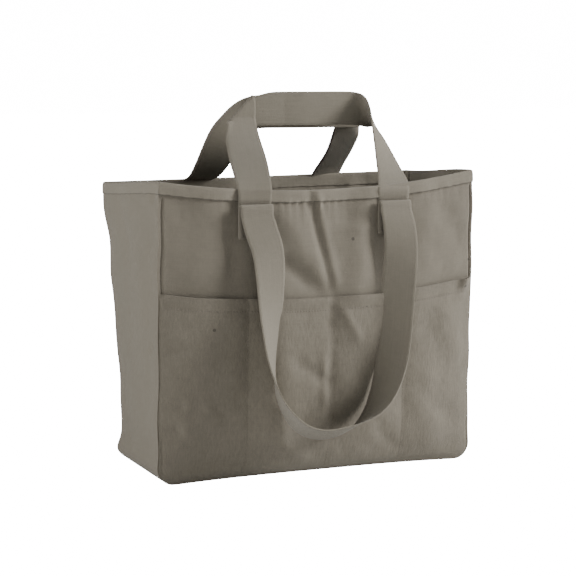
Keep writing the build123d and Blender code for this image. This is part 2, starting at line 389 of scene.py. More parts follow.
def made_once(name, maker, *values):
    """The material called name, made the first time it is asked for."""
    return bpy.data.materials.get(name) or maker(name, *values)


def canvas_material():
    looks = bpy.context.scene.bag_looks
    return made_once("washed_canvas", woven, looks.canvas, 0.0011, 0.12, 0.14, 0.12, 0.0004, True)


def pocket_material():
    looks = bpy.context.scene.bag_looks
    return made_once("ribbed_pocket_canvas", woven, looks.canvas, 0.0013, 0.3, 0.1, 0.14, 0.0005, True)


def ribbon_material():
    looks = bpy.context.scene.bag_looks
    return made_once("cotton_ribbon", woven, looks.ribbon, 0.0009, 0.1, 0.16, 0.1, 0.00035)


def tape_material():
    looks = bpy.context.scene.bag_looks
    # The last value is the width of the painted shade along the tape's lower edge.
    return made_once("binding_tape_cotton", woven, looks.tape, 0.0009, 0.16, 0.1, 0.1, 0.00035, False, 0.0009)


def thread_material():
    looks = bpy.context.scene.bag_looks
    return made_once("sewing_thread", twisted_thread, looks.thread)


# ---- shape of the bag's body, in millimetres ----

HALF_WIDTH = PANEL_BOX[1][0] / MM
BODY_HEIGHT = PANEL_BOX[1][2] / MM
CORNER_RADIUS = 20.0
BASE_HALF_DEPTH = 79.0
RIM_HALF_DEPTH = 85.0
FULL_SWELL = 24.0              # how far the middle of a panel stands out beyond its corners
TAB_X = 88.0                   # middle of each sewn end
SEAM_GROOVE = 1.5              # depth of the groove beside the side seams
SIDE_BELLY = 2.2               # how far a side stands out between its seams
SPAN_X = 2 * HALF_WIDTH
STRIP_LENGTH = 2 * BODY_HEIGHT + SPAN_X
POCKET_MOUTH = POCKET_BOX[1][2] / MM
HEM_DROP = 15.0                # from the pockets' mouth down to its hem stitching
DIVIDERS = (-100.0, 4.0, 101.0)  # x of the seams between the pockets

# Creases: x and z of both ends, half width, height outwards.
FRONT_CREASES = [
    (-60, 326, 2, 228, 17, 4.4),
    (-20, 345, 6, 222, 6, -3.2),
    (-12, 345, 13, 224, 5, 1.9),
    (34, 352, 36, 300, 24, -5.0),
    (38, 212, 50, 335, 19, 4.8),
    (-104, 350, -118, 235, 13, -3.2),
    (-60, 262, -2, 220, 11, -3.6),
    (-140, 352, -146, 225, 27, 3.4),
    (124, 350, 128, 222, 30, 2.8),
    (150, 318, 186, 262, 12, -1.2),
    (-150, 215, -178, 150, 12, 2.0),
    (-204, 151, -168, 156, 7, -2.0),
    (-204, 98, -172, 92, 7, -2.2),
    (-204, 61, -176, 67, 6, -2.0),
    (-176, 60, -135, 85, 14, 2.2),
    (-64, 205, -58, 34, 27, 4.6),
    (-46, 142, 2, 112, 9, -2.2),
    (-7, 150, -5, 84, 5, 1.8),
    (14, 205, 40, 160, 6, 1.6),
    (112, 104, 172, 48, 11, -1.3),
    (124, 130, 150, 24, 24, 2.2),
    (150, 200, 186, 120, 16, 1.8),
    (60, 60, 95, 22, 9, -1.6),
    (-60, 40, -20, 18, 9, 1.6),
]
BACK_CREASES = [
    (-40, 330, 20, 190, 17, -3.2),
    (-120, 335, -150, 220, 12, -3.0),
    (118, 338, 150, 230, 13, -2.8),
    (30, 300, 70, 180, 15, 2.6),
    (-170, 160, -60, 90, 16, 2.4),
    (-150, 140, -40, 66, 9, -2.0),
    (60, 130, 170, 70, 15, -2.6),
    (90, 70, 180, 40, 10, 2.0),
]
LEFT_CREASES = [
    (-88, 336, -66, 322, 6, -2.6),
    (40, 348, 10, 250, 16, -1.8),
    (-70, 160, -52, 148, 5, -1.6),
    (-40, 300, -20, 120, 20, 1.8),
    (60, 90, 30, 30, 12, -1.6),
]
RIGHT_CREASES = [
    (-60, 340, -30, 230, 14, -2.4),
    (50, 330, 20, 180, 18, 2.2),
    (-10, 150, 40, 60, 13, -1.8),
]


def half_depth(z):
    """From the bag's middle to its corners."""
    return BASE_HALF_DEPTH + (RIM_HALF_DEPTH - BASE_HALF_DEPTH) * z / BODY_HEIGHT


def swell(z):
    """How far a panel's middle stands out beyond its corners at height z."""
    return FULL_SWELL * (1 - math.exp(-z / 25)) * (1 - 0.49 * ease((z - 185) / 110))


def rim_height(x, y):
    """Height of the rim over the point (x, y)."""
    front = 333.5 + 0.0125 * x + 15.5 * (x / HALF_WIDTH) ** 2
    back = 338.5 + 0.012 * x + 1.5 * (x / HALF_WIDTH) ** 2
    share = ease((y + RIM_HALF_DEPTH) / (2 * RIM_HALF_DEPTH))
    return front + (back - front) * share


def round_corner(x, z):
    """Draws in the square lower corners to a round."""
    p = (abs(x) - (HALF_WIDTH - CORNER_RADIUS)) / CORNER_RADIUS
    q = (CORNER_RADIUS - z) / CORNER_RADIUS
    if p <= 0 or q <= 0:
        return x, z
    round_p = p * math.sqrt(1 - q * q / 2)
    round_q = q * math.sqrt(1 - p * p / 2)
    new_x = HALF_WIDTH - CORNER_RADIUS + CORNER_RADIUS * round_p
    return math.copysign(new_x, x), CORNER_RADIUS * (1 - round_q)


def seam_x(x, z, face):
    """Lets the side seams waver a little."""
    side = math.copysign(1, x)
    waver = 0.013 * lump(z, 40 * side + 17 * face, 46, 1) + 0.006 * hump(z - 18, 14) - 0.004
    shift = 0.0
    if face > 0 and side < 0:
        shift = 9 * (1 - ease((z - 90) / 150)) - 5 * hump(z - 14, 13) - 8 * ease((z - 235) / 105)
    return x * (1 + waver) + shift * min(abs(x) / HALF_WIDTH, 1.0) ** 3


def puckers(x, below_rim):
    """Small gathers hanging from the rim tape, strongest beside the middle."""
    strength = 0.14 + 0.9 * hump(x + 20, 42)
    phase = x * 0.62 + 2.4 * lump(x, 0, 24, 2)
    return strength * math.sin(phase) * math.exp(-max(below_rim, 0) / 11) * ease(below_rim / 4 + 1)


def panel_relief(x, z, face):
    """Creases and lumps of the front (face -1) or back (face 1) panel, outwards."""
    looks = bpy.context.scene.bag_looks
    lines = FRONT_CREASES if face < 0 else BACK_CREASES
    relief = sum(crease(x, z, line) for line in lines)
    relief += 2.6 * lump(x, z, 62, 3 + face) + 1.0 * lump(x, z, 24, 6 + face) + 0.22 * lump(x, z, 9, 9 + face)
    edge = ease((HALF_WIDTH - abs(x)) / 22) * ease(z / 26)
    near_tab = max(hump(x - TAB_X, 22), hump(x + TAB_X, 22)) * ease((z - 262) / 18)
    return relief * edge * looks.wrinkles * (1 - 0.92 * near_tab)


def panel_point(x, z, face):
    """Point on the outer face of the front (face -1) or back (face 1) panel."""
    round_x, round_z = round_corner(x, z)
    share = min(abs(round_x) / HALF_WIDTH, 1.0)
    out = half_depth(round_z) + swell(round_z) * (1 - share ** 2.2)
    top = rim_height(round_x, face * RIM_HALF_DEPTH)
    tall = round_z * top / BODY_HEIGHT
    below_rim = top - 13 - tall
    out += panel_relief(round_x, round_z, face)
    out += puckers(round_x, below_rim) * ease((HALF_WIDTH - abs(x)) / 30)
    groove = ease((z - POCKET_MOUTH + 4) / 6) * ease((BODY_HEIGHT - 14 - z) / 5)
    groove += 0.6 * ease((62 - z) / 14) * ease(z / 20)
    out -= SEAM_GROOVE * groove * hump(HALF_WIDTH - abs(x) - 3.0, 1.2)
    lift = (3.6 if face < 0 else 1.5) * (1 - share ** 3) * math.exp(-round_z / 14)
    return seam_x(round_x, round_z, face), face * out, tall + lift


def edge_run(t):
    """Square outline (x, z) of a panel's edge: down the left, along the base and up the right."""
    run = t * STRIP_LENGTH
    if run < BODY_HEIGHT:
        return -HALF_WIDTH, BODY_HEIGHT - run
    if run < BODY_HEIGHT + SPAN_X:
        return -HALF_WIDTH + run - BODY_HEIGHT, 0.0
    return HALF_WIDTH, run - BODY_HEIGHT - SPAN_X


def side_relief(y, z, creases, belly, layer):
    """How far a side of the bag stands out; belly is 0 at its seams and 1 midway."""
    relief = sum(crease(y, z, line) for line in creases)
    relief += 1.3 * lump(y, z, 55, layer) + 0.4 * lump(y, z, 18, layer + 1)
    return SIDE_BELLY * belly + relief * ease(belly * 3)


def strip_point(t, across):
    """Point on the side and base strip: t runs along it, across goes from the front to the back."""
    x, z = edge_run(t)
    front = Vector(panel_point(x, z, -1))
    back = Vector(panel_point(x, z, 1))
    point = front.lerp(back, across)
    y = point.y
    on_side = ease((z - 4) / 40)
    belly = 4 * across * (1 - across)
    if x <= -HALF_WIDTH + 0.01:
        point.x -= side_relief(y, z, LEFT_CREASES, belly, 21) * on_side
    elif x >= HALF_WIDTH - 0.01:
        point.x += side_relief(y, z, RIGHT_CREASES, belly, 23) * on_side
    else:
        inner = ease((HALF_WIDTH - abs(x)) / 40)
        point.z += (0.8 * lump(x, y, 50, 25) - 0.6) * belly * inner
    if z > 0:
        top = rim_height(x, y)
        point.z = z * top / BODY_HEIGHT + (point.z - z * (rim_height(x, front.y) * (1 - across)
                  + rim_height(x, back.y) * across) / BODY_HEIGHT) * (1 - on_side)
    point.z = max(point.z, 0.6)
    return point


def clustered(t, amount=0.19):
    """Spreads points from -1 to 1 so that they lie closer together towards both ends."""
    return t + amount * math.sin(math.pi * t)


# ---- pocket panel ----

def pocket_stand(x, z):
    """How far the pocket panel stands off the front panel."""
    edges = (-HALF_WIDTH, *DIVIDERS, HALF_WIDTH)
    stand = 1.5
    for left, right in zip(edges, edges[1:]):
        if left <= x <= right:
            middle = (left + right) / 2
            share = abs(x - middle) / ((right - left) / 2)
            stand += 3.4 * (1 - share ** 3) * (0.25 + 0.75 * ease(z / 90)) * (1 + 0.25 * lump(x, z, 40, 31))
    stand += 1.1 * ease((z - 200) / 16) + 6.5 * hump(x - 188, 8) * ease((z - 200) / 16)
    for divider in DIVIDERS:
        pull = 0.9 * lump(divider, z, 8, 32) * hump(x - divider - 5, 5)
        pull += 0.9 * lump(divider, z, 8, 33) * hump(x - divider + 5, 5)
        stand += max(pull, -0.6) * (0.5 + 0.5 * ease((z - 120) / 60))
    return stand


def mouth_height(x):
    """Upper edge of the pockets."""
    return POCKET_MOUTH - 0.6 + 1.6 * (x / HALF_WIDTH) ** 2 + 0.9 * lump(x, 0, 45, 34)


def pocket_point(x, z):
    """Point on the pocket panel's outer face; z runs to the mouth."""
    base = Vector(panel_point(x, z, -1))
    edge = ease((HALF_WIDTH - abs(x)) / 3)
    stand = 1.4 + (pocket_stand(x, z) - 1.4) * edge
    waver = -1.6 * (1 - ease((HALF_WIDTH - abs(x)) / 14)) * lump(z, 0, 12, 35)
    base.y -= stand * ease(z / 8) + waver * ease(z / 20)
    hem = mouth_height(x) - z
    base.y += 0.2 * hump(hem - HEM_DROP, 1.6)
    return base


# ---- operators: the bag's body ----

class BAG_OT_panels(bpy.types.Operator):
    """Front and back panels and the strip that joins them"""

    bl_idname = "bag.panels"
    bl_label = "Panels"

    def execute(self, context):
        sizes = context.scene.bag_sizes
        for name, face in (("front_panel", -1), ("back_panel", 1)):
            panel = cloth_grid(
                f"{name}_cloth", 200, 130,
                lambda u, v: panel_point(clustered(2 * u - 1) * HALF_WIDTH, v * BODY_HEIGHT, face),
                (SPAN_X, BODY_HEIGHT),
            )
            give_thickness(panel, sizes.cloth, -1.0, flip=face > 0)
            finish_piece(panel, canvas_material(), "bag", [name])
        strip_size = (STRIP_LENGTH, 2 * RIM_HALF_DEPTH)
        strip = cloth_grid("side_and_base_strip_cloth", 480, 44, strip_point, strip_size)
        give_thickness(strip, sizes.cloth, -1.0)
        finish_piece(strip, canvas_material(), "bag", ["side_and_base_strip"])
        return {"FINISHED"}


class BAG_OT_pockets(bpy.types.Operator):
    """Pocket panel sewn across the front"""

    bl_idname = "bag.pockets"
    bl_label = "Pockets"

    def execute(self, context):
        sizes = context.scene.bag_sizes

        def place(u, v):
            x = clustered(2 * u - 1) * HALF_WIDTH
            return pocket_point(x, v * mouth_height(x))

        pocket = cloth_grid("front_pocket_panel_cloth", 220, 90, place, (SPAN_X, POCKET_MOUTH))
        give_thickness(pocket, sizes.cloth, -1.0)
        finish_piece(pocket, pocket_material(), "bag", ["front_pocket_panel"])
        return {"FINISHED"}


RIM_CORNERS = (0.0, 0.35, 0.5, 0.85, 1.0)   # shares of the way round, from the front's left corner
RIM_COLUMNS = 520


def rim_station(t):
    """Wall point below the rim as a function of depth, and the outward direction, t from 0 to 1."""
    corners = RIM_CORNERS
    if t <= corners[1]:
        x = clustered(2 * t / corners[1] - 1, 0.12) * HALF_WIDTH
        wall = lambda z: Vector(panel_point(x, z, -1))
        out = Vector((0, -1, 0))
    elif t <= corners[2]:
        share = (t - corners[1]) / (corners[2] - corners[1])
        wall = lambda z: strip_point(1 - (BODY_HEIGHT - z) / STRIP_LENGTH, share)
        out = Vector((1, 0, 0))
    elif t <= corners[3]:
        x = -clustered(2 * (t - corners[2]) / (corners[3] - corners[2]) - 1, 0.12) * HALF_WIDTH
        wall = lambda z: Vector(panel_point(x, z, 1))
        out = Vector((0, 1, 0))
    else:
        share = 1 - (t - corners[3]) / (corners[4] - corners[3])
        wall = lambda z: strip_point((BODY_HEIGHT - z) / STRIP_LENGTH, share)
        out = Vector((-1, 0, 0))
    for corner, other in zip(corners, ((-1, -1, 0), (1, -1, 0), (1, 1, 0), (-1, 1, 0), (-1, -1, 0))):
        if abs(t - corner) < 1e-6:
            out = Vector(other)
    return wall, out


class BAG_OT_rim(bpy.types.Operator):
    """Tape folded over the rim, and the tapes over the seams inside"""

    bl_idname = "bag.rim"
    bl_label = "Rim and Seam Tapes"

    def execute(self, context):
        sizes = context.scene.bag_sizes
        tape = sizes.tape / MM
        cloth = sizes.cloth / MM
        drop = sizes.tape_drop / MM

        def place(u, v):
            wall, out = rim_station(round(u * RIM_COLUMNS) / RIM_COLUMNS)
            waver = 0.7 * lump(u * 900, 0, 7, 41)
            low = BODY_HEIGHT - drop + waver
            puff = 0.35 * (1 + lump(u * 900, 5, 8, 42))
            profile = (
                (0.0, low, tape * 0.5 + 0.7),
                (0.12, low + 3, tape * 0.5 + 0.5 + puff),
                (0.3, BODY_HEIGHT - 4, tape * 0.5 + 0.8),
                (0.42, BODY_HEIGHT + 0.2, tape * 0.5 + 0.2),
                (0.5, BODY_HEIGHT + tape * 0.8, -cloth / 2),
                (0.58, BODY_HEIGHT + 0.2, -cloth - tape * 0.5 - 0.2),
                (0.7, BODY_HEIGHT - 4, -cloth - tape * 0.5 - 0.4),
                (1.0, low - 1, -cloth - tape * 0.5 - 0.1),
            )
            for (v0, z0, o0), (v1, z1, o1) in zip(profile, profile[1:]):
                if v <= v1 + 1e-6:
                    t = (v - v0) / (v1 - v0)
                    z = z0 + (z1 - z0) * t
                    return wall(z) + out * (o0 + (o1 - o0) * t)

        around = 4 * (HALF_WIDTH + RIM_HALF_DEPTH)
        rim = cloth_grid("rim_binding_tape", RIM_COLUMNS, 24, place, (around, 2 * drop))
        give_thickness(rim, sizes.tape, 0.0)
        finish_piece(rim, tape_material(), "bag", ["rim_binding"])
        for name, near in (("front_seam_binding", 0.012), ("back_seam_binding", 0.93)):
            def inside(u, v):
                x, z = edge_run(u)
                here = strip_point(u, near + 0.058 * v)
                x, z = round_corner(x, z)
                middle = Vector((max(min(x, HALF_WIDTH - 25), 25 - HALF_WIDTH), here.y, max(z, 26)))
                inward = (middle - Vector((x, here.y, z))).normalized()
                return here + inward * 2.6
            tape_piece = cloth_grid(f"{name}_tape", 360, 4, inside, (STRIP_LENGTH, 10))
            give_thickness(tape_piece, 0.0018, 0.0)
            finish_piece(tape_piece, tape_material(), "bag", [name])
        return {"FINISHED"}


# ---- handles ----

LEG_FOOT = 282.0               # lower edge of a handle's sewn ends
LEG_TOP = 336.0                # where the left leg starts to lean in, at the rim
BAND_Y = -13.0                 # middle of the band's outer layer
BAND_LEAD = 58.0               # straight band between the fold and the curl
FOLD_RADIUS = 1.3              # the ribbon's bend where it folds over itself
BACK_HANDLE_DROP = 4.0         # the back handle's band hangs lower than the front one's
SEWN_END_HEIGHTS = (334, 318, 300, LEG_FOOT)
HINGE_BLEND = 0.006            # metres either side of a handle's hinge
LINE_STEPS = 600


def wall_y(z):
    """Outer face of the front panel at a sewn end."""
    return -(half_depth(z) + swell(z) * (1 - (TAB_X / HALF_WIDTH) ** 2.2))


def handle_end_y(z):
    """Middle of a handle's sewn end, which lies on the panel and over the rim tape."""
    return wall_y(z) - 0.95 - 1.25 * ease((z - 320) / 6)


# The free end of the band and the leg that it curls down into: x, y, height under the
# band's middle line, and the direction across the ribbon.
FRONT_CURL = [
    (10, -12.6, 0, 0, 0, 1),
    (46, -12.0, 0, 0, 0, 1),
    (72, -12.0, -0.5, 0, 0.02, 1),
    (85, -13.5, -2.5, -0.1, -0.14, 0.98),
    (91.5, -17, -6.5, -0.24, -0.45, 0.86),
    (95, -22, -12.5, -0.42, -0.74, 0.52),
    (97, -28, -20, -0.57, -0.7, 0.42),
    (98.5, -35, -30, -0.69, -0.6, 0.4),
    (98.5, -50, -49, -0.83, -0.42, 0.36),
    (96, -68, -67, -0.93, -0.24, 0.25),
    (93, -84, -81, -0.99, -0.08, 0.1),
]
BACK_CURL = [
    (10, -12.6, 0, 0, 0, 1),
    (30, -12.6, 0, 0, 0, 1),
    (44, -12.6, -1, 0, 0, 1),
    (55, -13.5, -4, 0, -0.12, 0.98),
    (63, -17.5, -10, 0.1, -0.42, 0.9),
    (69, -23, -19, 0.34, -0.64, 0.69),
    (73.5, -31, -31, 0.7, -0.49, 0.52),
    (76.5, -44, -47, 0.91, -0.28, 0.3),
    (78.5, -62, -65, 0.98, -0.12, 0.13),
    (80, -84, -80, 1, 0, 0),
]


class HandleLine:
    """A hand handle of one ribbon: up the left leg, folded over into the band, and down the right leg."""

    def __init__(self, top, curl, fold_x, bow, twist):
        self.twist = twist
        self.half = bpy.context.scene.bag_sizes.ribbon_width / MM / 2
        self.fold_x = fold_x
        self.fold_z = top - self.half
        self.leg = []
        z = LEG_FOOT
        run = 0.0
        before = None
        while z < top + self.half:
            share = (z - LEG_TOP) / (self.fold_z - 10 - LEG_TOP)
            lean = 0.5 * ease(share) + 0.5 * min(max(share, 0), 1)
            y = handle_end_y(min(z, 342)) * (1 - lean) + BAND_Y * lean
            if before:
                run += math.dist(before, (y, z))
            before = (y, z)
            drawn_in = ease((z - 335) / (self.fold_z - 335))
            x = -TAB_X + (fold_x + TAB_X) * drawn_in - bow * hump(z - 366, 22)
            self.leg.append((run, x, y, z))
            z += 1.0
        self.leg_length = next(r for r, x, y, z in self.leg if z >= self.fold_z)
        self.band_y = BAND_Y + 2 * FOLD_RADIUS
        rows = [(fold_x + BAND_LEAD, self.band_y - 0.5, self.fold_z, 0, 0, 1)]
        rows += [(x, y, self.fold_z + drop, *across) for x, y, drop, *across in curl]
        facing = math.copysign(1, curl[-1][3])
        rows += [(TAB_X, handle_end_y(z), z, facing, 0, 0) for z in SEWN_END_HEIGHTS]
        self.rest, self.rest_length = through(rows, LINE_STEPS)
        self.rest_start = self.leg_length + BAND_LEAD
        self.length = self.rest_start + self.rest_length

    def on_leg(self, run):
        low, high = 0, len(self.leg) - 1
        while high - low > 1:
            middle = (low + high) // 2
            if self.leg[middle][0] <= run:
                low = middle
            else:
                high = middle
        a, b = self.leg[low], self.leg[high]
        t = (run - a[0]) / (b[0] - a[0])
        return [p + (q - p) * t for p, q in zip(a[1:], b[1:])]

    def place(self, run, across):
        """Point at run millimetres along the ribbon and across from its middle line."""
        if run <= self.rest_start:
            before = (self.leg_length + across - run) / math.sqrt(2)
            along = (run - self.leg_length + across) / math.sqrt(2)
            reach = math.pi / 2 * FOLD_RADIUS
            spare = math.copysign(max(abs(along) - 19.0, 0.0), along)
            soften = Vector((1, 0, 1)) * (-0.42 * spare * hump(before, 9))
            if before >= reach:
                x, y, z = self.on_leg(run)
                return Vector((x + across, y - self.twist * across * hump(z - 368, 28), z)) + soften
            if before <= -reach:
                past = run - self.leg_length
                y = self.band_y - 0.5 * ease(past / BAND_LEAD)
                return Vector((self.fold_x + past, y, self.fold_z + across)) + soften
            angle = (reach - before) / FOLD_RADIUS
            out = -reach * (1 - math.sin(angle))
            return Vector((
                self.fold_x + (along - out) / math.sqrt(2),
                BAND_Y + FOLD_RADIUS * (1 - math.cos(angle)),
                self.fold_z + (along + out) / math.sqrt(2),
            )) + soften
        return point_across(self.rest, (run - self.rest_start) / self.rest_length, across)


def handle_side(face):
    """The handle's line, and how a front point turns to the back: face -1 front, 1 back."""
    top = bpy.context.scene.bag_sizes.handle_top / MM
    if face < 0:
        line = HandleLine(top, FRONT_CURL, fold_x=-72.0, bow=0.0, twist=0.4)
    else:
        line = HandleLine(top - BACK_HANDLE_DROP, BACK_CURL, fold_x=-85.0, bow=4.0, twist=-0.28)
    return line, turn_for(face)


def blend_at_hinge(piece, side):
    """Bakes a handle's piece's placement into its mesh; it looks up the handle's hinge but blends nothing
    across it.
    """
    hinge = next(j for j in frame["joints"] if j["name"] == f"{side}_handle_swing")["pos_m"]
    hinge[2] - HINGE_BLEND
    hinge[2] + HINGE_BLEND
    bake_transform(piece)


def ribbon_piece(name, place, length, turn, columns):
    """A closed length of ribbon from place(run, across)."""
    sizes = bpy.context.scene.bag_sizes
    width = sizes.ribbon_width / MM

    def on_ribbon(u, v):
        uneven = 1 + 0.008 * lump(u * length, v * 9, 30, 51)
        return turn(place(u * length, (v - 0.5) * width * uneven))

    ribbon = cloth_grid(name, columns, 12, on_ribbon, (length, width))
    return give_thickness(ribbon, sizes.ribbon, 0.0, rounded=0.0003)


class BAG_OT_handles(bpy.types.Operator):
    """The two short hand handles, each one ribbon from sewn end to sewn end"""

    bl_idname = "bag.handles"
    bl_label = "Hand Handles"

    def execute(self, context):
        for side, face in (("front", -1), ("back", 1)):
            line, turn = handle_side(face)
            handle = ribbon_piece(f"{side}_handle_ribbon", line.place, line.length, turn, 420)
            finish_piece(handle, ribbon_material(), None,
                         [f"{side}_handle", f"{side}_left_handle_end", f"{side}_right_handle_end"])
            blend_at_hinge(handle, side)
        return {"FINISHED"}


# ---- shoulder straps ----

STRAP_END_HEIGHTS = (281, 290, 300, 309)
STRAP_FOLD = ((-98.9, 316), (-101.2, 319.6), (-103.2, 316))   # y and z of the rolled fold
STRAP_STAND = 2.7              # middle of a sewn end off the wall, over the handle's end
STRAP_STEPS = 1400

# Hanging line of a strap: x, y, z and how far it has turned edge-on, in degrees.
STRAP_ROUTE = [
    (-87.5, -103.6, 306, 0),
    (-82.5, -105.5, 287, 2),
    (-77, -108.0, 268, 5),
    (-75.5, -111.5, 245, 11),
    (-76.5, -116.5, 204, 25),
    (-78.2, -121, 176, 39),
    (-79.5, -125.5, 150, 53),
    (-77.5, -129.5, 125, 67),
    (-72, -132, 102, 80),
    (-61, -133, 82, 92),
    (-45, -133.5, 65, 105),
    (-22, -133.5, 56, 114),
    (4, -133.5, 57, 116),
    (26, -133, 64, 108),
    (44, -131.5, 77, 90),
    (58, -128.5, 95, 72),
    (69, -124.5, 118, 57),
    (77, -120.5, 148, 42),
    (82, -117.5, 185, 31),
    (88, -114.5, 238, 24),
    (91, -111.5, 264, 16),
    (91, -107.5, 289, 6),
    (88.5, -103.9, 308, 0),
]


class StrapLine:
    """A shoulder strap of one ribbon: sewn end, rolled fold, hanging loop, rolled fold, sewn end."""

    def __init__(self):
        rows = [(-TAB_X, wall_y(z) - STRAP_STAND, z, 1, 0, 0) for z in STRAP_END_HEIGHTS]
        rows += [(-TAB_X, y, z, 1, 0, 0) for y, z in STRAP_FOLD]
        last = len(STRAP_ROUTE) - 1
        for i, (x, y, z, turned) in enumerate(STRAP_ROUTE):
            before = STRAP_ROUTE[max(i - 1, 0)]
            after = STRAP_ROUTE[min(i + 1, last)]
            along = Vector((after[0] - before[0], 0, after[2] - before[2])).normalized()
            angle = math.radians(turned)
            across = along.cross(Vector((0, 1, 0))) * math.cos(angle) + Vector((0, 1, 0)) * math.sin(angle)
            if turned == 0:
                across = Vector((-math.copysign(1, x), 0, 0))
            rows.append((x, y, z, *across))
        rows += [(TAB_X, y, z, -1, 0, 0) for y, z in reversed(STRAP_FOLD)]
        rows += [(TAB_X, wall_y(z) - STRAP_STAND, z, -1, 0, 0) for z in reversed(STRAP_END_HEIGHTS)]
        self.rows, self.length = through(rows, STRAP_STEPS)

    def place(self, run, across):
        """Point at run millimetres along the ribbon and across from its middle line."""
        return point_across(self.rows, run / self.length, across)


class BAG_OT_straps(bpy.types.Operator):
    """The two long shoulder straps, each one ribbon from sewn end to sewn end"""

    bl_idname = "bag.straps"
    bl_label = "Shoulder Straps"

    def execute(self, context):
        line = StrapLine()
        for side, face in (("front", -1), ("back", 1)):
            turn = turn_for(face)
            strap = ribbon_piece(f"{side}_strap_ribbon", line.place, line.length, turn, 620)
            finish_piece(strap, ribbon_material(), None,
                         [f"{side}_strap", f"{side}_left_strap_end", f"{side}_right_strap_end"])
            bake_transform(strap)
        return {"FINISHED"}


# ---- stitching ----

def stitch_template():
    """One stitch, 1 long, 1 wide and 1 high, with tapered ends, as points and faces."""
    deselect_all()
    bpy.ops.mesh.primitive_cube_add(size=1)
    model = bpy.context.object
    bpy.ops.object.mode_set(mode="EDIT")
    bpy.ops.mesh.select_all(action="SELECT")
    bpy.ops.mesh.subdivide(number_cuts=1)
    bpy.ops.object.mode_set(mode="OBJECT")
    mesh = model.data
    points = []
    for vertex in mesh.vertices:
        x, y, z = vertex.co
        points.append((x, y * (0.55 if abs(x) > 0.4 else 1.0), z * (0.35 if abs(x) > 0.4 else 1.0)))
    faces = [tuple(f.vertices) for f in mesh.polygons]
    bpy.data.objects.remove(model)
    bpy.data.meshes.remove(mesh)
    return points, faces


def stitch_rows(name, rows, length=2.5, width=0.75, height=0.55):
    """One object with a stitch at every place of rows: (point, next point, normal) in millimetres."""
    template, template_faces = stitch_template()
    points = []
    faces = []
    for start, end, normal in rows:
        ahead = end - start
        span = min(length, ahead.length * 0.78)
        ahead.normalize()
        beside = normal.cross(ahead).normalized()
        up = ahead.cross(beside)
        middle = (start + end) / 2
        first = len(points)
        for x, y, z in template:
            points.append((middle + ahead * x * span + beside * y * width + up * z * height) * MM)
        faces += [tuple(first + i for i in face) for face in template_faces]
    mesh = bpy.data.meshes.new(name)
    mesh.from_pydata(points, [], faces)
    mesh.shade_smooth()
    piece = bpy.data.objects.new(name, mesh)
    bpy.context.collection.objects.link(piece)
    return piece


def row_on(place, start, end, pitch, outward):
    """Stitches along place(t) for t from start to end; outward(t) is the way they stand up."""
    samples = 400
    line = [place(start + (end - start) * i / samples) for i in range(samples + 1)]
    run = [0.0]
    for a, b in zip(line, line[1:]):
        run.append(run[-1] + (b - a).length)
    count = max(int(run[-1] / pitch), 1)
    spots = []
    j = 0
    for i in range(count + 1):
        goal = run[-1] * i / count
        while j < samples - 1 and run[j + 1] < goal:
            j += 1
        t = (goal - run[j]) / max(run[j + 1] - run[j], 1e-9)
        spots.append((line[j].lerp(line[j + 1], t), start + (end - start) * (j + t) / samples))
    return [(a, b, outward((s + t) / 2)) for (a, s), (b, t) in zip(spots, spots[1:])]


def surface_row(surface, path, start, end, pitch, face):
    """Stitches on a panel surface(x, z) along path(t) = (x, z), standing off its outer face."""
    def normal(t):
        x, z = path(t)
        here = Vector(surface(x, z))
        side = Vector(surface(x + 1.0, z)) - here
        rise = Vector(surface(x, z + 1.0)) - here
        out = side.cross(rise).normalized()
        return out if out.y * face > 0 else -out

    def place(t):
        x, z = path(t)
        return Vector(surface(x, z)) + normal(t) * 0.1
    return row_on(place, start, end, pitch, normal)


